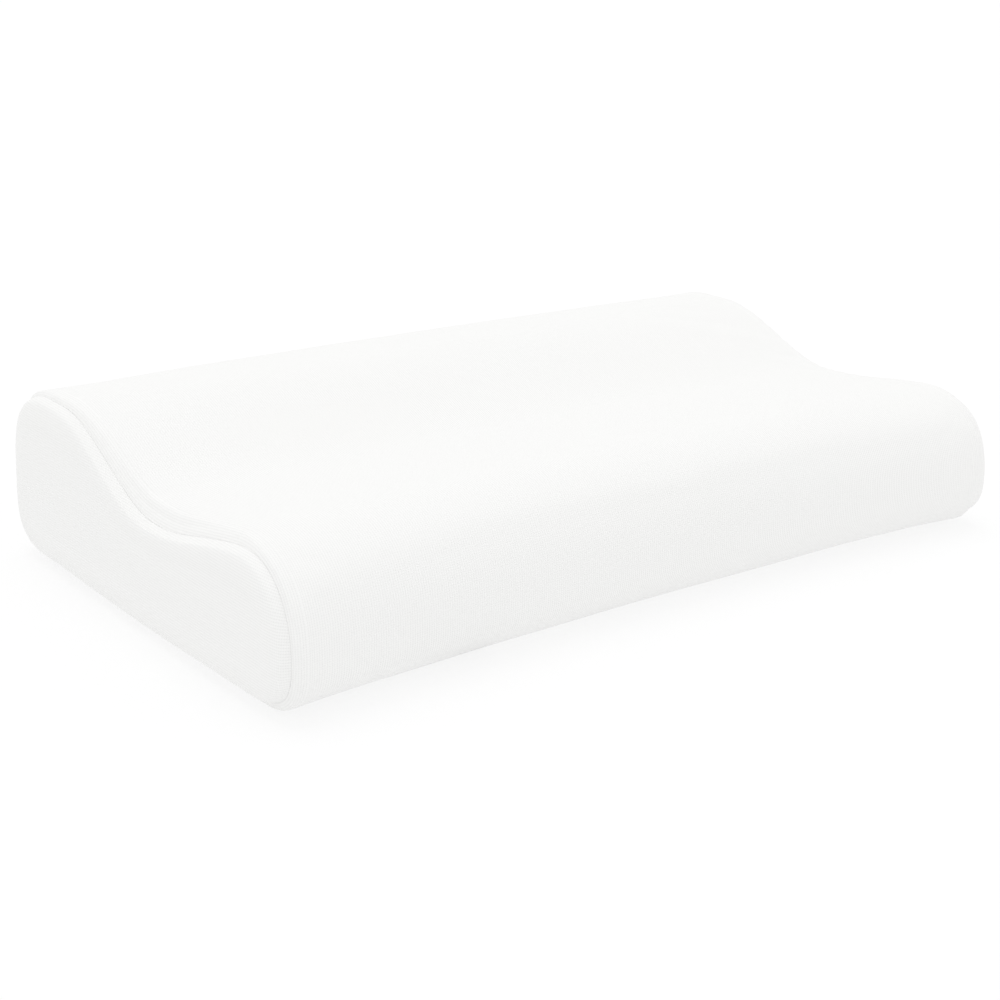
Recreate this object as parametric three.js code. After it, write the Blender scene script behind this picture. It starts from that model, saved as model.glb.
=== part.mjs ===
// Contour memory foam pillow in a knitted cover, in millimetres, +Z up.
// The long side lies along X, the low neck lobe faces -Y and the high lobe lies at +Y.
// The origin is on the surface under the middle of the pillow.
import * as THREE from 'three';

// Driving sizes of the filled pillow.
const LENGTH = 600;
const DEPTH = 346.7;
const HIGH_LOBE = 118.4;
const LOW_LOBE = 96.3;
const TROUGH = 85.3;

// Where the wave turns, measured in from the front edge.
const LOW_CREST_AT = 40.5;
const TROUGH_AT = 157.8;
const HIGH_CREST_AT = 268.4;

// Rounding of the long edges: how far in each curve reaches, its share of the lobe's height, and
// its squareness, where 2 is a plain ellipse and more is fuller at the corner.
const FRONT_ROUND = 64;
const BACK_ROUND = 59.4;
const UNDER_FRONT_ROUND = 40;
const UNDER_BACK_ROUND = 55.4;
const FRONT_UPPER_SHARE = 0.648;
const BACK_UPPER_SHARE = 0.625;
const FRONT_SQUARENESS = 2.4;
const BACK_SQUARENESS = 2.7;

// The cover pulls the middle of the front in, and the filling crowns the middle of the top.
const DRAW_IN = 10.5;
const CROWN = 1.2;

// Ends: the wrap-around panel turns over a broad shoulder down to the seam, whose middle line lies
// this far from the end plane and in from the profile. The seam is sewn in to a groove that slopes
// with the shoulder, and outside it the end panel's rim rolls out to a nearly flat face.
const SHOULDER = 17;
const SEAM_FROM_END = 5.2;
const SEAM_INSET = 4.1;
const SEAM_SLOPE = THREE.MathUtils.degToRad(40);
const GROOVE_WIDTH = 1.8;
const GROOVE_DEPTH = 3.2;
const RIM_TOP_INSET = 14.5;
const FACE_DIP = 0.5;
const FACE_DIP_INSET = 19;
const FACE_FLAT_INSET = 24;

// The end panels are thick knitted sheets, seated a hair off the filled body.
const PANEL_THICKNESS = 2.5;
const SEAT_GAP = 0.4;

// Steps of the mesh.
const PROFILE_STEPS = 31;
const MIDDLE_STEPS = 10;
const SHOULDER_STEPS = 4;
const RIM_STEPS = 5;

const COVER_WHITE = 0xf4f4f2;
const COVER_ROUGHNESS = 0.9;

const MIDDLE_HALF = LENGTH / 2 - SHOULDER;

function smoothStep(t) {
  return t * t * (3 - 2 * t);
}

// Height lost t of the way into a quarter round.
function quarterDrop(t, squareness) {
  const inside = THREE.MathUtils.clamp(t, 0, 1);
  return 1 - (1 - inside ** squareness) ** (1 / squareness);
}

// The wave of the top before its long edges are rounded.
function waveHeight(y) {
  if (y < LOW_CREST_AT) return LOW_LOBE;
  if (y > HIGH_CREST_AT) return HIGH_LOBE;
  if (y < TROUGH_AT) {
    const fall = smoothStep((y - LOW_CREST_AT) / (TROUGH_AT - LOW_CREST_AT));
    return THREE.MathUtils.lerp(LOW_LOBE, TROUGH, fall);
  }
  const rise = smoothStep((y - TROUGH_AT) / (HIGH_CREST_AT - TROUGH_AT));
  return THREE.MathUtils.lerp(TROUGH, HIGH_LOBE, rise);
}

// How far a round at the front or back edge has turned at y, as drop shares from 0 to 1.
function frontDrop(y, reach) {
  return quarterDrop(1 - y / reach, FRONT_SQUARENESS);
}

function backDrop(y, reach) {
  return quarterDrop(1 - (DEPTH - y) / reach, BACK_SQUARENESS);
}

function topHeight(y) {
  const front = LOW_LOBE * FRONT_UPPER_SHARE * frontDrop(y, FRONT_ROUND);
  const back = HIGH_LOBE * BACK_UPPER_SHARE * backDrop(y, BACK_ROUND);
  return waveHeight(y) - front - back;
}

function undersideHeight(y) {
  const front = LOW_LOBE * (1 - FRONT_UPPER_SHARE) * frontDrop(y, UNDER_FRONT_ROUND);
  const back = HIGH_LOBE * (1 - BACK_UPPER_SHARE) * backDrop(y, UNDER_BACK_ROUND);
  return front + back;
}

// The closed side profile as (y, z) points: back over the top, then forward along the underside.
function sideProfile() {
  const points = [];
  for (let k = 0; k < PROFILE_STEPS; k++) {
    const y = (DEPTH * (1 - Math.cos((Math.PI * k) / PROFILE_STEPS))) / 2;
    points.push(new THREE.Vector2(y, topHeight(y)));
  }
  for (let k = PROFILE_STEPS; k > 0; k--) {
    const y = (DEPTH * (1 - Math.cos((Math.PI * k) / PROFILE_STEPS))) / 2;
    points.push(new THREE.Vector2(y, undersideHeight(y)));
  }
  return points;
}

function outwardNormals(points) {
  return points.map((point, i) => {
    const before = points[(i + points.length - 1) % points.length];
    const after = points[(i + 1) % points.length];
    return new THREE.Vector2(before.y - after.y, after.x - before.x).normalize();
  });
}

const profile = sideProfile();
const profileNormals = outwardNormals(profile);

// One ring around the pillow at x, drawn in from the full profile by inset.
function ring(x, inset) {
  const middle = Math.max(0, 1 - (x / MIDDLE_HALF) ** 2);
  return profile.map((point, i) => {
    const y = point.x - profileNormals[i].x * inset;
    const z = point.y - profileNormals[i].y * inset;
    const pulledIn = DRAW_IN * middle * (1 - y / DEPTH);
    const crowned = CROWN * middle * (z / HIGH_LOBE);
    return new THREE.Vector3(x, y + pulledIn - DEPTH / 2, z + crowned);
  });
}

// Points of the end's cross-section hold how far each lies in from the end plane and from the profile.
function endPoint(fromEnd, inset) {
  return { fromEnd, inset };
}

// A point of the groove: along its slope from the seam's middle line, and below the cover.
function groovePoint(along, below) {
  return endPoint(
    SEAM_FROM_END - along * Math.cos(SEAM_SLOPE) + below * Math.sin(SEAM_SLOPE),
    SEAM_INSET + along * Math.sin(SEAM_SLOPE) + below * Math.cos(SEAM_SLOPE),
  );
}

const shoulderEdge = groovePoint(-GROOVE_WIDTH / 2, 0);
const rimEdge = groovePoint(GROOVE_WIDTH / 2, 0);

// The shoulder at a share of the way from the straight middle down to the groove.
function shoulderPoint(share) {
  const run = (share * (SHOULDER - shoulderEdge.fromEnd)) / SHOULDER;
  const wholeRun = (SHOULDER - shoulderEdge.fromEnd) / SHOULDER;
  const drop = quarterDrop(run, 2) / quarterDrop(wholeRun, 2);
  return endPoint(SHOULDER * (1 - run), shoulderEdge.inset * drop);
}

// The end panel's skin from the groove over its rim to the flat of its face, at a depth below it.
function panelSkin(depth) {
  const rise = rimEdge.fromEnd - depth;
  const width = RIM_TOP_INSET - rimEdge.inset - depth;
  const skin = [];
  for (let k = 0; k <= RIM_STEPS; k++) {
    const turn = ((Math.PI / 2) * k) / RIM_STEPS;
    skin.push(endPoint(rimEdge.fromEnd - rise * Math.sin(turn), RIM_TOP_INSET - width * Math.cos(turn)));
  }
  skin.push(endPoint(depth + FACE_DIP, FACE_DIP_INSET));
  skin.push(endPoint(depth, FACE_FLAT_INSET));
  return skin;
}

// The body's end: its shoulder, the floor of the seam groove, and the seat under the end panel.
function bodyEnd() {
  const end = [];
  for (let k = 0; k <= SHOULDER_STEPS; k++) end.push(shoulderPoint(k / SHOULDER_STEPS));
  end.push(groovePoint(0, GROOVE_DEPTH));
  return end.concat(panelSkin(PANEL_THICKNESS + SEAT_GAP));
}

// Triangles across a ring's flat face, as rungs between its top and its underside.
function capTriangles(around, firstIndex, isFirst) {
  const triangles = [[0, around - 1, 1]];
  for (let top = 1; top < around / 2; top++) {
    const under = around - top;
    triangles.push([top, under, under - 1]);
    if (top + 1 < under - 1) triangles.push([top, under - 1, top + 1]);
  }
  return triangles.map((triangle) => {
    const indices = triangle.map((i) => i + firstIndex);
    return isFirst ? indices.reverse() : indices;
  });
}

// A closed solid through a row of rings, flat at both ends.
function loft(rings) {
  const around = rings[0].length;
  const positions = rings.flat().flatMap((point) => point.toArray());
  const indices = [];
  for (let r = 0; r < rings.length - 1; r++) {
    for (let i = 0; i < around; i++) {
      const here = r * around + i;
      const beside = r * around + ((i + 1) % around);
      indices.push(here, here + around, beside, beside, here + around, beside + around);
    }
  }
  const last = rings.length - 1;
  const caps = capTriangles(around, 0, true).concat(capTriangles(around, last * around, false));
  const geometry = new THREE.BufferGeometry();
  geometry.setAttribute('position', new THREE.Float32BufferAttribute(positions, 3));
  geometry.setIndex(indices.concat(caps.flat()));
  geometry.computeVertexNormals();
  return geometry;
}

// The filled body from its left end over the middle to its right end.
function bodyGeometry() {
  const end = bodyEnd();
  const left = end.map((point) => ring(point.fromEnd - LENGTH / 2, point.inset)).reverse();
  const right = end.map((point) => ring(LENGTH / 2 - point.fromEnd, point.inset));
  const middle = [];
  for (let k = 1; k < MIDDLE_STEPS; k++) middle.push(ring(MIDDLE_HALF * ((2 * k) / MIDDLE_STEPS - 1), 0));
  return loft([...left, ...middle, ...right]);
}

// An end panel on the given side: inner skin out to its sewn edge, and outer skin back to its face.
function endPanelGeometry(side) {
  const inner = panelSkin(PANEL_THICKNESS).reverse();
  const rings = [...inner, ...panelSkin(0)].map((point) =>
    ring(side * (LENGTH / 2 - point.fromEnd), point.inset),
  );
  return loft(side > 0 ? rings : rings.reverse());
}

function coverMesh(name, geometry) {
  const material = new THREE.MeshStandardMaterial({
    color: COVER_WHITE,
    roughness: COVER_ROUGHNESS,
    metalness: 0,
  });
  const mesh = new THREE.Mesh(geometry, material);
  mesh.name = name;
  return mesh;
}

const pillow = new THREE.Group();
pillow.name = 'contour_pillow';
pillow.add(coverMesh('pillow_body', bodyGeometry()));
pillow.add(coverMesh('end_panel_left', endPanelGeometry(-1)));
pillow.add(coverMesh('end_panel_right', endPanelGeometry(1)));

export default pillow;
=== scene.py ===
import math
import random

import bmesh
import bpy
import numpy as np
from mathutils import Matrix, Vector, noise


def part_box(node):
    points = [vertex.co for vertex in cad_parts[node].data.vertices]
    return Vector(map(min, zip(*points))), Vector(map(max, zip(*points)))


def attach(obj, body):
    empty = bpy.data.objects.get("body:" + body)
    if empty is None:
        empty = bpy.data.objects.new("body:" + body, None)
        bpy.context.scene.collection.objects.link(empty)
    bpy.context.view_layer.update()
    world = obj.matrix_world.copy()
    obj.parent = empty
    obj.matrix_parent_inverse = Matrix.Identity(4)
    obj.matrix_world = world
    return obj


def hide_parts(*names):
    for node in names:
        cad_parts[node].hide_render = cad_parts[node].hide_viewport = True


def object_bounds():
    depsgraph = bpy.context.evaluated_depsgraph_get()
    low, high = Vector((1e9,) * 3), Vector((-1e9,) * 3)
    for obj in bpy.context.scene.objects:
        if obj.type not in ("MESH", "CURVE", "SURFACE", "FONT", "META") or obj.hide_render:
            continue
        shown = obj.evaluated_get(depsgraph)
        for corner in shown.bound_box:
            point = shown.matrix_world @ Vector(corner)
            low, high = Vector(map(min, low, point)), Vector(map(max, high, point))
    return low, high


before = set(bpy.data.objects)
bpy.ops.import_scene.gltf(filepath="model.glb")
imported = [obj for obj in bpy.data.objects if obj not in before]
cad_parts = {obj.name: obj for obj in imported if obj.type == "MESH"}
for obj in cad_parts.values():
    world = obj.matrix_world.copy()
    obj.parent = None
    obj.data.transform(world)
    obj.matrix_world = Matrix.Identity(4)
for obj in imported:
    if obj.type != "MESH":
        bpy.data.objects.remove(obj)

cad_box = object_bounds()


# The filled body: memory foam moulded as one wave, in a panel of white double knit that wraps it
# over the top, front and underside. The panel's long edges are sewn together low on the back, and
# each end turns over a broad shoulder into the groove of the end seam. Sizes are in metres.
CROWN = 0.0012
DRAW_IN = 0.0105
body_low, body_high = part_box("pillow_body")
LENGTH = cad_box[1].x - cad_box[0].x
DEPTH = body_high.y - body_low.y
HIGH_LOBE = body_high.z - CROWN
LOW_LOBE = 0.0963
TROUGH = 0.0853
LOW_CREST_AT = 0.0405
TROUGH_AT = 0.1578
HIGH_CREST_AT = 0.2684
FRONT_ROUND = 0.064
BACK_ROUND = 0.0594
UNDER_FRONT_ROUND = 0.040
UNDER_BACK_ROUND = 0.0554
FRONT_UPPER_SHARE = 0.648
BACK_UPPER_SHARE = 0.625
FRONT_SQUARENESS = 2.4
BACK_SQUARENESS = 2.7
COLUMNS = 240
DENSE_STEPS = 6000


def smooth_step(t):
    t = np.clip(t, 0, 1)
    return t * t * (3 - 2 * t)


def quarter_drop(t, squareness):
    """Height lost t of the way into a quarter round. A squareness of 2 is a plain ellipse."""
    return 1 - (1 - np.clip(t, 0, 1) ** squareness) ** (1 / squareness)


def front_drop(y, reach):
    return quarter_drop(1 - y / reach, FRONT_SQUARENESS)


def back_drop(y, reach):
    return quarter_drop(1 - (DEPTH - y) / reach, BACK_SQUARENESS)


def top_height(y):
    fall = smooth_step((y - LOW_CREST_AT) / (TROUGH_AT - LOW_CREST_AT))
    rise = smooth_step((y - TROUGH_AT) / (HIGH_CREST_AT - TROUGH_AT))
    wave = LOW_LOBE + (TROUGH - LOW_LOBE) * fall + (HIGH_LOBE - TROUGH) * rise
    front = LOW_LOBE * FRONT_UPPER_SHARE * front_drop(y, FRONT_ROUND)
    back = HIGH_LOBE * BACK_UPPER_SHARE * back_drop(y, BACK_ROUND)
    return wave - front - back


def underside_height(y):
    front = LOW_LOBE * (1 - FRONT_UPPER_SHARE) * front_drop(y, UNDER_FRONT_ROUND)
    back = HIGH_LOBE * (1 - BACK_UPPER_SHARE) * back_drop(y, UNDER_BACK_ROUND)
    return front + back


def even_steps(height, steps):
    """Points (y, z) from the front edge to the back edge, the same length of cloth apart."""
    y = DEPTH * (1 - np.cos(np.linspace(0, math.pi, DENSE_STEPS))) / 2
    line = np.stack([y, height(y)], axis=1)
    run = np.concatenate([[0], np.cumsum(np.linalg.norm(np.diff(line, axis=0), axis=1))])
    places = np.linspace(0, run[-1], steps + 1)
    return np.stack([np.interp(places, run, line[:, c]) for c in (0, 1)], axis=1)


# The side profile runs from the nose, which is the front edge, over the top and back underneath.
over = even_steps(top_height, COLUMNS // 2)
under = even_steps(underside_height, COLUMNS // 2)
profile = np.concatenate([over[:-1], under[:0:-1]])
tangent = np.roll(profile, -1, axis=0) - np.roll(profile, 1, axis=0)
outward = np.stack([-tangent[:, 1], tangent[:, 0]], axis=1)
outward /= np.linalg.norm(outward, axis=1, keepdims=True)
cloth_steps = np.linalg.norm(np.roll(profile, -1, axis=0) - profile, axis=1)
from_nose = np.concatenate([[0], np.cumsum(cloth_steps)])
GIRTH = from_nose[-1]

# The pillow's end, as points (from_end, inset): in from the end plane and in from the profile.
SHOULDER = 0.017
SHOULDER_SQUARENESS = 3
MIDDLE_HALF = LENGTH / 2 - SHOULDER
SEAM_FROM_END = 0.0070
SEAM_INSET = 0.0058
SEAM_SLOPE = math.radians(41)
GROOVE_WIDTH = 0.0118
GROOVE_DEPTH = 0.0019
SEAM_GAP = 0.00002
RIM_TOP_INSET = 0.0212
FACE_DIP = 0.0005
FACE_DIP_INSET = 0.0265
PANEL_THICKNESS = 0.0012
SEAT_GAP = 0.0004

# How far the cloth beside the seam follows it where it leaves the even line: fully in the groove,
# by FACE_WANDER on the end face, and by SAG at the shoulder's start, fading out at EASED_BY.
FACE_WANDER = 0.3
SAG = 0.4
EASED_BY = 0.065

# Cloth that would stand proud of the profile keeps only this share of its height above it.
PRESSED_BACK = 0.3

# The line (y, z) down the middle of the end face that its cloth is drawn on to. The columns within
# SPINE_ENDS of the nose and of the back edge meet in its two ends.
SPINE_FRONT = Vector((0.062, 0.046))
SPINE_BACK = Vector((DEPTH - 0.062, 0.057))
SPINE_ENDS = 1


def groove_point(along, below):
    """A point of the groove: along its slope from the seam's middle line, and below the cover."""
    return (SEAM_FROM_END - along * math.cos(SEAM_SLOPE) + below * math.sin(SEAM_SLOPE),
            SEAM_INSET + along * math.sin(SEAM_SLOPE) + below * math.cos(SEAM_SLOPE), 1.0)


shoulder_edge = groove_point(-GROOVE_WIDTH / 2, 0)
rim_edge = groove_point(GROOVE_WIDTH / 2, 0)


def shoulder_point(share):
    """The shoulder at a share of the way from the straight middle down to the groove."""
    whole_run = 1 - shoulder_edge[0] / SHOULDER
    whole_drop = quarter_drop(whole_run, SHOULDER_SQUARENESS)
    drop = quarter_drop(share * whole_run, SHOULDER_SQUARENESS) / whole_drop
    return SHOULDER * (1 - share * whole_run), shoulder_edge[1] * drop, SAG + (1 - SAG) * drop


def rim_point(turn, depth):
    """The end panel's rim, turn radians over from the groove, at a depth under its outer skin."""
    rise = rim_edge[0] - depth
    width = RIM_TOP_INSET - rim_edge[1] - depth
    wander = 1 + (FACE_WANDER - 1) * math.sin(turn)
    return rim_edge[0] - rise * math.sin(turn), RIM_TOP_INSET - width * math.cos(turn), wander


# The seam doesn't keep even with the profile, and goes its own way on each end: -1 is the left one.
# A row is a stretch of it: its middle as a run of cloth from the nose, how much deeper and further
# in from the end plane it is sewn there, and how long the stretch is.
SEAM_WANDERS = [
    {"end": -1, "middle": 0.005, "deeper": -0.0034, "inward": 0.0, "over": 0.036},
    {"end": -1, "middle": 0.062, "deeper": -0.0036, "inward": 0.0, "over": 0.034},
    {"end": -1, "middle": 0.188, "deeper": 0.0062, "inward": 0.0, "over": 0.052},
    {"end": -1, "middle": 0.325, "deeper": -0.0036, "inward": 0.0, "over": 0.045},
    {"end": -1, "middle": 0.390, "deeper": -0.0042, "inward": 0.0, "over": 0.040},
    {"end": -1, "middle": 0.470, "deeper": -0.0036, "inward": 0.0, "over": 0.040},
    {"end": -1, "middle": 0.640, "deeper": -0.0036, "inward": 0.0, "over": 0.130},
    {"end": 1, "middle": -0.010, "deeper": -0.0066, "inward": 0.0090, "over": 0.052},
    {"end": 1, "middle": 0.066, "deeper": -0.0046, "inward": 0.0, "over": 0.036},
    {"end": 1, "middle": 0.240, "deeper": -0.0030, "inward": 0.0, "over": 0.080},
    {"end": 1, "middle": 0.640, "deeper": -0.0036, "inward": 0.0, "over": 0.130},
]


def seam_wander(end, way):
    """How far the seam of one end goes a way of its own, at each column of the profile."""
    total = np.zeros(COLUMNS)
    for row in SEAM_WANDERS:
        if row["end"] == end:
            off = (from_nose[:-1] - row["middle"] + GIRTH / 2) % GIRTH - GIRTH / 2
            total += row[way] * np.exp(-(off / row["over"]) ** 2)
    return total


seam_deeper = {end: seam_wander(end, "deeper") for end in (-1, 1)}
seam_inward = {end: seam_wander(end, "inward") for end in (-1, 1)}


def eased(from_end):
    """How much of the seam's way still shows in the cloth, from the shoulder in towards the middle."""
    return smooth_step((EASED_BY - from_end) / (EASED_BY - SHOULDER))


def place(column, side, from_end, inset, wander, to_spine=0.0):
    """A point of the cover, by its column round the profile and its place on the pillow's end.
    wander is how much it follows the seam, and to_spine draws it on to the end face's middle."""
    k = column % COLUMNS
    inset += wander * seam_deeper[side][k]
    y, z = profile[k] - outward[k] * max(inset, PRESSED_BACK * inset)
    from_tip = max(min(k, COLUMNS - k) - SPINE_ENDS, 0)
    spine = SPINE_FRONT.lerp(SPINE_BACK, min(from_tip / (COLUMNS / 2 - 2 * SPINE_ENDS), 1.0))
    y += (spine.x - y) * to_spine
    z += (spine.y - z) * to_spine
    follows = smooth_step(from_end / SEAM_FROM_END) * eased(from_end) * (1 - to_spine)
    from_end += seam_inward[side][k] * follows
    x = side * (LENGTH / 2 - from_end)
    middle = max(0.0, 1 - (x / MIDDLE_HALF) ** 2)
    y += DRAW_IN * middle * (1 - y / DEPTH)
    z += CROWN * middle * z / HIGH_LOBE
    return Vector((x, y - DEPTH / 2, z))


# The closing seam runs this many columns below the back edge.
CLOSING_BELOW_BACK = 18
CLOSING_SEAM_COLUMN = COLUMNS // 2 + CLOSING_BELOW_BACK
SEW_DISTANCE = 0.00002


def cloth_run(column):
    """How far round the profile a column of cloth lies from the closing seam."""
    laps, k = divmod(CLOSING_SEAM_COLUMN + column, COLUMNS)
    return laps * GIRTH + from_nose[k] - from_nose[CLOSING_SEAM_COLUMN]


def wrapped_cut(lines, row_runs, column, row, around):
    """Where a point of the wrap-around panel lies on its flat cut, which needs only its runs."""
    return around, row_runs[column, row] - row_runs[column, -1] / 2


def sewn_grid(name, rows, folds, flat_cut):
    """A flat grid of cloth put in place. Its columns run round the profile and its rows follow the
    list of (side, from_end, inset, wander, to_spine), with a sharp fold along the rows that folds
    names. Its first and last columns are sewn together, and its knit is laid out by flat_cut."""
    bm = bmesh.new()
    bmesh.ops.create_grid(bm, x_segments=COLUMNS, y_segments=len(rows) - 1, size=0.5)
    knit_map = bm.loops.layers.uv.new("knit")
    seams_map = bm.loops.layers.uv.new("seams")
    lines = np.array([[place(column, *row) for row in rows] for column in range(COLUMNS)])
    steps = np.linalg.norm(np.diff(lines, axis=1), axis=2)
    row_runs = np.concatenate([np.zeros((COLUMNS, 1)), np.cumsum(steps, axis=1)], axis=1)
    row_run = row_runs[0]
    spots = {}
    for vert in bm.verts:
        laid = round((vert.co.x + 0.5) * COLUMNS)
        row = round((vert.co.y + 0.5) * (len(rows) - 1))
        column = (CLOSING_SEAM_COLUMN + laid) % COLUMNS
        cut = flat_cut(lines, row_runs, column, row, cloth_run(laid))
        spots[vert] = (Vector(lines[column, row]), cloth_run(laid), row_run[row], cut)
    sharp = bm.edges.layers.float.new("crease_edge")
    fold_runs = [row_run[row] for row in folds]
    for edge in bm.edges:
        first, second = (spots[vert][2] for vert in edge.verts)
        edge[sharp] = float(first == second and first in fold_runs)
    for face in bm.faces:
        for loop in face.loops:
            _, around, along, cut = spots[loop.vert]
            loop[seams_map].uv = (around, along)
            loop[knit_map].uv = cut
    for vert, (spot, *_) in spots.items():
        vert.co = spot
    bmesh.ops.remove_doubles(bm, verts=bm.verts, dist=SEW_DISTANCE)
    bmesh.ops.recalc_face_normals(bm, faces=bm.faces)
    mesh = bpy.data.meshes.new(name)
    bm.to_mesh(mesh)
    bm.free()
    mesh.shade_smooth()
    piece = bpy.data.objects.new(name, mesh)
    bpy.context.scene.collection.objects.link(piece)
    return piece, row_run


# The groove's wall, from the turned-in edge under its floor up to the cover, as (share of the way
# out from the seam, depth). Behind it the body goes on under the end panel, where nothing shows.
TURNED_IN = 0.0011
GROOVE_WALL = ((0.0, GROOVE_DEPTH + TURNED_IN), (0.0, GROOVE_DEPTH), (0.12, 0.89 * GROOVE_DEPTH),
               (0.28, 0.65 * GROOVE_DEPTH), (0.50, 0.33 * GROOVE_DEPTH), (0.75, 0.10 * GROOVE_DEPTH))
UNDER_PANEL = 0.0026
HIDDEN_FACE_SHARES = (1.0, 0.6, 0.0)
HIDDEN_RIM_TURNS = (90, 65, 40)
SHOULDER_STEPS = 7
MIDDLE_STEPS = 58
END_CLOSENESS = 0.45


def body_end_rows():
    """Rows (from_end, inset, wander, to_spine) from the middle of the hidden end to the shoulder."""
    seat = PANEL_THICKNESS + SEAT_GAP
    rows = [(FACE_DIP + seat, FACE_DIP_INSET, FACE_WANDER, share) for share in HIDDEN_FACE_SHARES]
    rows += [(*rim_point(math.radians(turn), seat), 0.0) for turn in HIDDEN_RIM_TURNS]
    rows.append((*groove_point(UNDER_PANEL / 2, GROOVE_DEPTH + UNDER_PANEL), 0.0))
    for across, below in GROOVE_WALL:
        rows.append((*groove_point(-SEAM_GAP / 2 - across * GROOVE_WIDTH / 2, below), 0.0))
    rows += [(*shoulder_point(k / SHOULDER_STEPS), 0.0) for k in range(SHOULDER_STEPS, -1, -1)]
    return rows


def middle_rows():
    """Rows along the straight middle, closer together towards its ends."""
    rows = []
    for k in range(1, MIDDLE_STEPS):
        u = 1 - 2 * k / MIDDLE_STEPS
        share = (1 - END_CLOSENESS) * u + END_CLOSENESS * math.sin(u * math.pi / 2)
        side = -1 if share > 0 else 1
        from_end = LENGTH / 2 - MIDDLE_HALF * abs(share)
        rows.append((side, from_end, 0.0, SAG * eased(from_end), 0.0))
    return rows


# The row of the groove's floor: past the hidden ones, the one under the panel and the turned-in edge.
GROOVE_ROW = len(HIDDEN_FACE_SHARES) + len(HIDDEN_RIM_TURNS) + 2
end_rows = body_end_rows()
left_rows = [(-1, *row) for row in end_rows]
right_rows = [(1, *row) for row in reversed(end_rows)]
body_rows = left_rows + middle_rows() + right_rows
body_folds = (GROOVE_ROW, len(body_rows) - 1 - GROOVE_ROW)
body, body_run = sewn_grid("cover_body", body_rows, body_folds, wrapped_cut)
body_seams = (body_run[GROOVE_ROW], body_run[-1 - GROOVE_ROW])


def coordinates(mesh):
    co = np.empty(len(mesh.vertices) * 3)
    mesh.vertices.foreach_get("co", co)
    return co.reshape(-1, 3)


def normals(mesh):
    out = np.empty(len(mesh.vertices) * 3)
    mesh.vertex_normals.foreach_get("vector", out)
    return out.reshape(-1, 3)


def cloth_places(mesh):
    """Each vertex's (around, along) on its cloth, from the map named seams."""
    uv = np.empty(len(mesh.loops) * 2)
    mesh.uv_layers["seams"].uv.foreach_get("vector", uv)
    corner = np.empty(len(mesh.loops), dtype=int)
    mesh.loops.foreach_get("vertex_index", corner)
    places = np.empty((len(mesh.vertices), 2))
    places[corner] = uv.reshape(-1, 2)
    return places


def move_to(mesh, co):
    mesh.vertices.foreach_set("co", co.reshape(-1))
    mesh.update()


def evaluated_mesh(piece):
    depsgraph = bpy.context.evaluated_depsgraph_get()
    return bpy.data.meshes.new_from_object(piece.evaluated_get(depsgraph), depsgraph=depsgraph)


# The cover settles on the foam: it starts a little smaller, swells under pressure with its sewn
# rows held, and moves no further than the cap. Then it rests flat on its underside again.
START_SMALLER = 0.0003
PRESSURE = 4
MOVE_CAP = 0.0014
SINK_CAP = 0.0002
HELD_BY_SEAM = 0.0035
FREE_FROM_SEAM = 0.030
SETTLE_FRAMES = 20


def settle(piece, seams):
    mesh = piece.data
    along = cloth_places(mesh)[:, 1]
    from_seam = np.minimum(along - seams[0], seams[1] - along)
    start = coordinates(mesh)
    freedom = smooth_step((from_seam - HELD_BY_SEAM) / (FREE_FROM_SEAM - HELD_BY_SEAM))
    start -= normals(mesh) * (START_SMALLER * freedom)[:, None]
    move_to(mesh, start)
    sewn = piece.vertex_groups.new(name="sewn")
    sewn.add([int(i) for i in np.flatnonzero(from_seam < HELD_BY_SEAM)], 1.0, "REPLACE")
    cloth = piece.modifiers.new("settle", "CLOTH")
    cloth.settings.vertex_group_mass = "sewn"
    cloth.settings.use_pressure = True
    cloth.settings.uniform_pressure_force = PRESSURE
    cloth.settings.effector_weights.gravity = 0
    cloth.point_cache.frame_end = SETTLE_FRAMES
    for step in range(1, SETTLE_FRAMES + 1):
        bpy.context.scene.frame_set(step)
    settled = evaluated_mesh(piece)
    lift = np.sum((coordinates(settled) - start) * normals(mesh), axis=1)
    bpy.data.meshes.remove(settled)
    co = start + normals(mesh) * np.clip(lift, -SINK_CAP, MOVE_CAP)[:, None]
    co[:, 2] = np.maximum(co[:, 2], 0)
    piece.modifiers.remove(cloth)
    piece.vertex_groups.clear()
    bpy.context.scene.frame_set(1)
    move_to(mesh, co)


settle(body, body_seams)


def rounded(piece):
    """One level of subdivision, applied."""
    surface = piece.modifiers.new("round", "SUBSURF")
    surface.levels = surface.render_levels = 1
    surface.uv_smooth = "NONE"
    finished = evaluated_mesh(piece)
    piece.modifiers.clear()
    piece.data = finished


rounded(body)
body.data.name = "cover_body"

# The sewing gathers the knit: small puckers run out of each end seam, none of them alike.
PUCKER_GAP = (0.0060, 0.0170)
PUCKER_DEPTH = (0.0001, 0.0006)
PUCKER_START = 0.003
SHOULDER_REACH = (0.006, 0.018)


def pucker_table(seed, reach):
    """Depth and reach of the puckers along a seam: knots halfway between and at each pucker."""
    draw = random.Random(seed)
    knots = [(0.0, 0.0, reach[0])]
    while knots[-1][0] < GIRTH - 2 * PUCKER_GAP[1]:
        gap = draw.uniform(*PUCKER_GAP)
        here = knots[-1][0]
        knots.append((here + gap / 2, draw.uniform(*PUCKER_DEPTH), draw.uniform(*reach)))
        knots.append((here + gap, 0.0, draw.uniform(*reach)))
    knots.append((GIRTH, 0.0, reach[0]))
    return np.array(knots)


def pucker_depth(around, from_seam, knots):
    """How deep the puckers are at places on the cloth. They start beside the seam's own line, and
    fade out over their reach."""
    at = np.interp(around % GIRTH, knots[:, 0], np.arange(len(knots)))
    knot = np.minimum(at.astype(int), len(knots) - 2)
    blend = smooth_step(at - knot)[:, None]
    depth, reach = (knots[knot, 1:] * (1 - blend) + knots[knot + 1, 1:] * blend).T
    return depth * smooth_step(from_seam / PUCKER_START) * smooth_step(1 - from_seam / reach)


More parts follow.
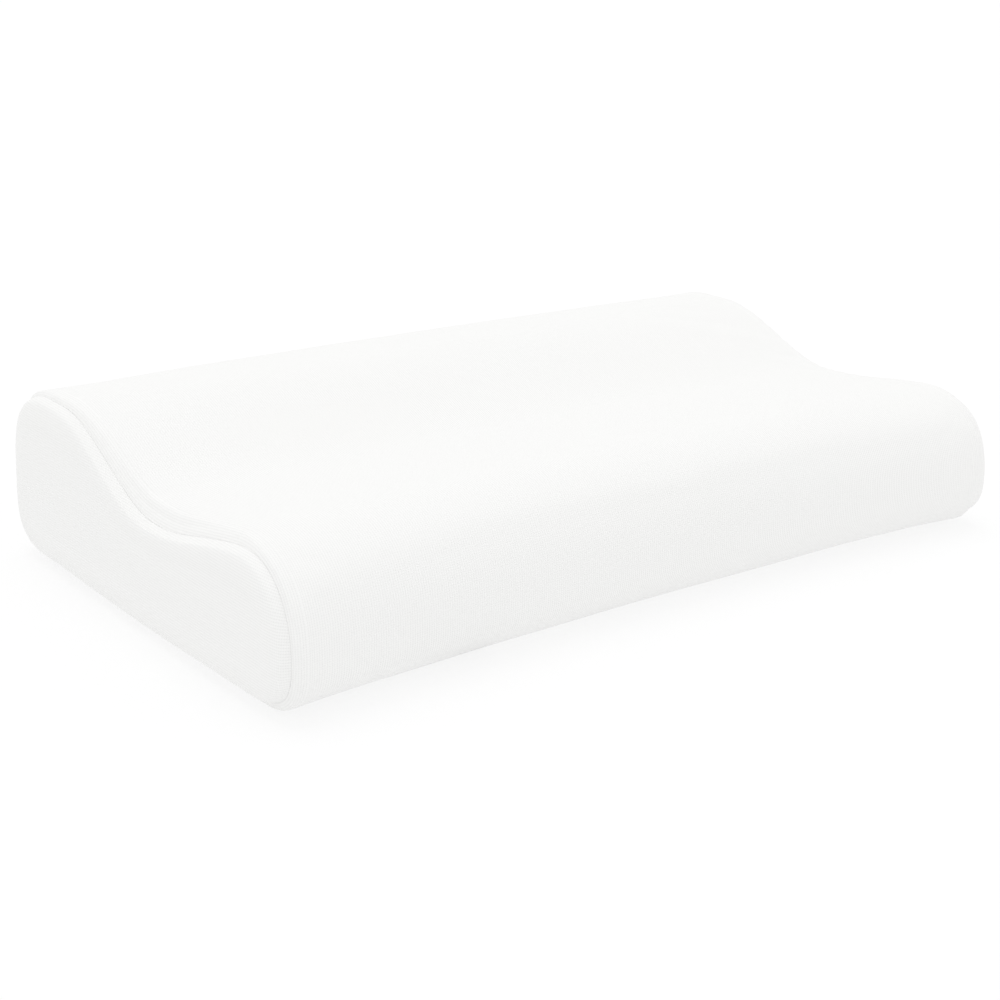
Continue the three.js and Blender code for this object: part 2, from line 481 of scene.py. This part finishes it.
# The moulded foam and the stretched knit are never quite even: a slow swell goes over the cover.
SWELL = 0.00035
SWELL_LENGTH = 0.075
BODY_SWELL_OFFSET = Vector((0.3, 0.1, 0.7))


def swell(co, offset):
    return np.array([noise.noise((Vector(p) + offset) / SWELL_LENGTH) for p in co]) * SWELL


# Creases where the knit takes up the turn of a corner or sags a little, each as (x, y, z) of its
# middle, the direction that it runs in, its length, its width and its depth.
CREASES = [
    {"middle": (-0.262, -0.150, 0.082), "runs": (0.80, -0.30, -0.52),
     "length": 0.060, "width": 0.0060, "depth": 0.0007},
    {"middle": (-0.250, -0.160, 0.052), "runs": (0.90, 0.00, -0.44),
     "length": 0.074, "width": 0.0070, "depth": 0.0006},
    {"middle": (-0.050, -0.158, 0.030), "runs": (0.97, 0.00, 0.22),
     "length": 0.110, "width": 0.0080, "depth": 0.0006},
    {"middle": (0.060, -0.158, 0.042), "runs": (0.98, 0.00, -0.18),
     "length": 0.090, "width": 0.0080, "depth": 0.0005},
    {"middle": (0.255, -0.158, 0.070), "runs": (0.84, 0.05, 0.54),
     "length": 0.066, "width": 0.0065, "depth": 0.0007},
    {"middle": (0.262, -0.152, 0.036), "runs": (0.93, 0.00, -0.36),
     "length": 0.060, "width": 0.0065, "depth": 0.0006},
    {"middle": (-0.258, 0.152, 0.094), "runs": (0.85, 0.30, 0.43),
     "length": 0.070, "width": 0.0070, "depth": 0.0007},
    {"middle": (0.250, 0.160, 0.080), "runs": (0.90, 0.05, -0.42),
     "length": 0.080, "width": 0.0075, "depth": 0.0007},
]


def crease_depth(co):
    depth = np.zeros(len(co))
    for crease in CREASES:
        run = np.array(crease["runs"]) / np.linalg.norm(crease["runs"])
        off = co - np.array(crease["middle"])
        along = off @ run
        across = np.linalg.norm(off - along[:, None] * run, axis=1)
        fade = np.clip(1 - (2 * along / crease["length"]) ** 2, 0, 1) ** 2
        depth += crease["depth"] * fade * np.exp(-(across / crease["width"]) ** 2)
    return depth


# The closing seam low on the back: the knit is drawn in to a shallow line that fades out before it
# reaches the end seams.
CLOSING_DEPTH = 0.0011
CLOSING_WIDTH = 0.0024
CLOSING_FADE = 0.012


def closing_depth(around, from_seam):
    across = np.minimum(around, GIRTH - around)
    return CLOSING_DEPTH * np.exp(-(across / CLOSING_WIDTH) ** 2) * smooth_step(from_seam / CLOSING_FADE)


def shape_body(mesh):
    co = coordinates(mesh)
    around, along = cloth_places(mesh).T
    from_seam = np.minimum(along - body_seams[0], body_seams[1] - along)
    depth = crease_depth(co) + closing_depth(around, from_seam)
    for number, from_one in enumerate((along - body_seams[0], body_seams[1] - along)):
        depth += pucker_depth(around, from_one, pucker_table(number, SHOULDER_REACH))
    free = smooth_step(from_seam / FREE_FROM_SEAM)
    raised = swell(co, BODY_SWELL_OFFSET) * free - depth
    co += normals(mesh) * raised[:, None]
    co[:, 2] = np.maximum(co[:, 2], 0)
    move_to(mesh, co)
    mesh.uv_layers.remove(mesh.uv_layers["seams"])


shape_body(body.data)

# The knit: a white polyester double knit, brushed a little and matt, with its ribs, called wales,
# running round the pillow. The gaps between the ribs are painted a touch greyer, as painted shade
# in the hollows where the ribs shade each other. The stitches, WALE by COURSE, are drawn about
# twice as coarse as the real 0.85 by 0.7 mm, so that they show.
WALE = 0.0017
COURSE = 0.0014
KNIT_WHITE = "#F1F1F0"
# The gaps' grey below is painted shade, standing in for the shade that falls between the ribs.
KNIT_GAP_PAINTED_SHADE = "#E9E9E8"

# Heights are in shares of a wale: the stitches on a rib, the brushed nap over both, and the two
# heights between which the colour goes from the gaps' painted shade to the ribs' white. RELIEF is in
# metres.
STITCH_SHARE = 0.7
NAP_SHARE = 0.35
NAP_PER_METRE = 900.0
GAP_HEIGHT = 0.25
RIB_HEIGHT = 0.75
RELIEF = 0.0004
RELIEF_STRENGTH = 0.3


def linear(hex_colour):
    parts = [int(hex_colour[i:i + 2], 16) / 255 for i in (1, 3, 5)]
    return [c / 12.92 if c <= 0.04045 else ((c + 0.055) / 1.055) ** 2.4 for c in parts] + [1.0]


def add(tree, kind, settings=None, inputs=None):
    """Adds a node with its settings, and its inputs, by name or place, as values or links."""
    node = tree.nodes.new(kind)
    for key, value in (settings or {}).items():
        setattr(node, key, value)
    for key, value in (inputs or {}).items():
        if isinstance(value, bpy.types.NodeSocket):
            tree.links.new(value, node.inputs[key])
        else:
            node.inputs[key].default_value = value
    return node


def double_knit():
    material = bpy.data.materials.new("white polyester double knit")
    material.use_nodes = True
    tree = material.node_tree
    tree.nodes.clear()
    where = add(tree, "ShaderNodeUVMap", {"uv_map": "knit"}).outputs[0]
    apart = add(tree, "ShaderNodeSeparateXYZ", None, {0: where}).outputs
    wale = add(tree, "ShaderNodeMath", {"operation": "DIVIDE"}, {0: apart[1], 1: WALE}).outputs[0]
    rib = add(tree, "ShaderNodeMath", {"operation": "PINGPONG"}, {0: wale, 1: 0.5}).outputs[0]
    course = add(tree, "ShaderNodeMath", {"operation": "DIVIDE"}, {0: apart[0], 1: COURSE}).outputs[0]
    slant = add(tree, "ShaderNodeMath", {"operation": "ADD"}, {0: course, 1: rib}).outputs[0]
    stitch = add(tree, "ShaderNodeMath", {"operation": "PINGPONG"}, {0: slant, 1: 0.5}).outputs[0]
    loft = add(tree, "ShaderNodeMath", {"operation": "MULTIPLY_ADD"},
               {0: stitch, 1: STITCH_SHARE, 2: rib}).outputs[0]
    nap = add(tree, "ShaderNodeTexNoise", None,
              {"Vector": where, "Scale": NAP_PER_METRE, "Detail": 3.0}).outputs[0]
    height = add(tree, "ShaderNodeMath", {"operation": "MULTIPLY_ADD"},
                 {0: nap, 1: NAP_SHARE, 2: loft}).outputs[0]
    tone = add(tree, "ShaderNodeMapRange", None,
               {"Value": height, "From Min": GAP_HEIGHT, "From Max": RIB_HEIGHT})
    # This ramp paints shade into the colour: grey in the hollows between the ribs, white on the ribs.
    white = add(tree, "ShaderNodeValToRGB", None, {0: tone.outputs[0]})
    white.color_ramp.elements[0].color = linear(KNIT_GAP_PAINTED_SHADE)
    white.color_ramp.elements[1].color = linear(KNIT_WHITE)
    relief = add(tree, "ShaderNodeBump", None,
                 {"Strength": RELIEF_STRENGTH, "Distance": RELIEF, "Height": height})
    cloth = add(tree, "ShaderNodeBsdfPrincipled", None, {
        "Base Color": white.outputs[0], "Normal": relief.outputs[0], "Roughness": 0.92,
        "Specular IOR Level": 0.3, "Sheen Weight": 0.12, "Sheen Roughness": 0.5})
    add(tree, "ShaderNodeOutputMaterial", None, {"Surface": cloth.outputs[0]})
    return material


knit = double_knit()
body.data.materials.clear()
body.data.materials.append(knit)
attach(body, "root")
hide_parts("pillow_body")


# The two end panels: wave-shaped pieces of the same knit, sewn into the ends of the wrap-around
# panel. The seam's turned-in edges push the rim out as a soft roll beside the groove, and the face
# inside it lies nearly flat against the foam.
RIM_TURNS = (0, 15, 30, 45, 60, 75, 90)
FACE_SHARES = (0.0, 0.08, 0.18, 0.3, 0.44, 0.58, 0.72, 0.86, 1.0)
INTO_DIP = 0.6
FACE_UNEVEN = 0.0004
FACE_SWELL_OFFSET = Vector((2.1, 0.4, 0.9))
RIM_REACH = (0.005, 0.011)

# The row of the groove's floor, past the turned-in edge.
SEAM_ROW = 1


def panel_rows(side):
    rows = [(side, *groove_point(SEAM_GAP / 2 + across * GROOVE_WIDTH / 2, below), 0.0)
            for across, below in GROOVE_WALL]
    rows += [(side, *rim_point(math.radians(turn), 0.0), 0.0) for turn in RIM_TURNS]
    dip_inset = (1 - INTO_DIP) * RIM_TOP_INSET + INTO_DIP * FACE_DIP_INSET
    rows.append((side, INTO_DIP * FACE_DIP, dip_inset, FACE_WANDER, 0.0))
    rows += [(side, FACE_DIP * (1 - share), FACE_DIP_INSET, FACE_WANDER, share) for share in FACE_SHARES]
    return rows


FACE_ROW = len(panel_rows(1)) - len(FACE_SHARES)


def panel_cut(lines, row_runs, column, row, around):
    """Where a point of an end panel lies on its flat cut: its rim is laid out beyond its face."""
    beyond = max(0.0, row_runs[column, FACE_ROW] - row_runs[column, row])
    _, y, z = lines[column, max(row, FACE_ROW)]
    return y + outward[column][0] * beyond, z + outward[column][1] * beyond


def shape_panel(mesh, number, side, seam):
    co = coordinates(mesh)
    around, along = cloth_places(mesh).T
    depth = pucker_depth(around, along - seam, pucker_table(number, RIM_REACH))
    inside = smooth_step((along - seam) / RIM_TOP_INSET)
    co += normals(mesh) * -depth[:, None]
    co[:, 0] -= side * inside * (FACE_UNEVEN + swell(co, FACE_SWELL_OFFSET))
    move_to(mesh, co)
    mesh.uv_layers.remove(mesh.uv_layers["seams"])


for number, (side, word) in enumerate(((-1, "left"), (1, "right"))):
    panel, panel_run = sewn_grid(f"cover_end_{word}", panel_rows(side), (SEAM_ROW,), panel_cut)
    thickness = panel.modifiers.new("cloth", "SOLIDIFY")
    thickness.thickness = PANEL_THICKNESS
    thickness.offset = -1
    rounded(panel)
    shape_panel(panel.data, number, side, panel_run[SEAM_ROW])
    panel.data.materials.clear()
    panel.data.materials.append(knit)
    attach(panel, "root")
    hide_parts(f"end_panel_{word}")


# The floor: a sheet of opal acrylic, lit softly from below as on a studio table, which keeps the
# pillow's shadow light. It reaches far past the camera's view, and isn't part of the pillow.
FLOOR_HALF = 60
FLOOR_BELOW = 0.0002
OPAL_UNLIT = "#8E8E8E"
FLOOR_GLOW = 0.70
bm = bmesh.new()
bmesh.ops.create_grid(bm, x_segments=1, y_segments=1, size=FLOOR_HALF)
bmesh.ops.translate(bm, verts=bm.verts, vec=(0, 0, -FLOOR_BELOW))
floor_mesh = bpy.data.meshes.new("floor")
bm.to_mesh(floor_mesh)
bm.free()
floor = bpy.data.objects.new("floor", floor_mesh)
bpy.context.scene.collection.objects.link(floor)
opal = bpy.data.materials.new("opal acrylic")
opal.use_nodes = True
opal.node_tree.nodes.clear()
sheet = add(opal.node_tree, "ShaderNodeBsdfPrincipled", None, {
    "Base Color": linear(OPAL_UNLIT), "Roughness": 0.95, "Specular IOR Level": 0.1,
    "Emission Color": (1, 1, 1, 1), "Emission Strength": FLOOR_GLOW})
add(opal.node_tree, "ShaderNodeOutputMaterial", None, {"Surface": sheet.outputs[0]})
floor_mesh.materials.append(opal)


# The light: a white studio that lights the pillow from all round, one soft lamp above it and a
# little behind, which makes the top the brightest, and a weak fill from the front left and from
# the right. All of them are too wide to leave a hard shadow.
STUDIO_GLOW = 1.0
LAMPS = {
    "soft_lamp": {"from": (0.00, 0.30, 1.3), "strength": 0.38, "angle": 40},
    "left_fill": {"from": (-0.70, -0.60, 0.15), "strength": 0.060, "angle": 40},
    "right_fill": {"from": (0.90, -0.35, 0.20), "strength": 0.05, "angle": 40},
}
world = bpy.data.worlds.new("studio")
world.use_nodes = True
world.node_tree.nodes["Background"].inputs["Color"].default_value = (1, 1, 1, 1)
world.node_tree.nodes["Background"].inputs["Strength"].default_value = STUDIO_GLOW
bpy.context.scene.world = world
for name, setting in LAMPS.items():
    light = bpy.data.lights.new(name, "SUN")
    light.energy = setting["strength"]
    light.angle = math.radians(setting["angle"])
    lamp = bpy.data.objects.new(name, light)
    lamp.rotation_euler = (-Vector(setting["from"])).to_track_quat("-Z", "Y").to_euler()
    bpy.context.scene.collection.objects.link(lamp)
bpy.context.scene.view_settings.view_transform = "Standard"


# The camera stands where the photo was taken from, to the front left and a little above. Its frame
# is 1000 pixels wide, and the photo's centre of view lies off the frame's middle, as a shift.
AZIMUTH = math.radians(-39.084)
ELEVATION = math.radians(17.939)
ROLL = math.radians(1.86)
DISTANCE = 1.26236
LOOK_AT = Vector((0, 0, 0.05))
FRAME_PIXELS = 1000
PIXELS_PER_METRE = 1436.0
CENTRE_OF_VIEW = (522.0, 467.65)
SENSOR = 36
toward = Vector((math.sin(AZIMUTH) * math.cos(ELEVATION), -math.cos(AZIMUTH) * math.cos(ELEVATION),
                 math.sin(ELEVATION)))
lens = bpy.data.cameras.new("camera")
lens.sensor_width = SENSOR
lens.lens = PIXELS_PER_METRE * DISTANCE / FRAME_PIXELS * SENSOR
lens.shift_x = 0.5 - CENTRE_OF_VIEW[0] / FRAME_PIXELS
lens.shift_y = CENTRE_OF_VIEW[1] / FRAME_PIXELS - 0.5
camera = bpy.data.objects.new("camera", lens)
camera.rotation_mode = "QUATERNION"
camera.location = LOOK_AT + toward * DISTANCE
roll = Matrix.Rotation(ROLL, 3, "Z").to_quaternion()
camera.rotation_quaternion = (-toward).to_track_quat("-Z", "Y") @ roll
bpy.context.scene.collection.objects.link(camera)
bpy.context.scene.camera = camera
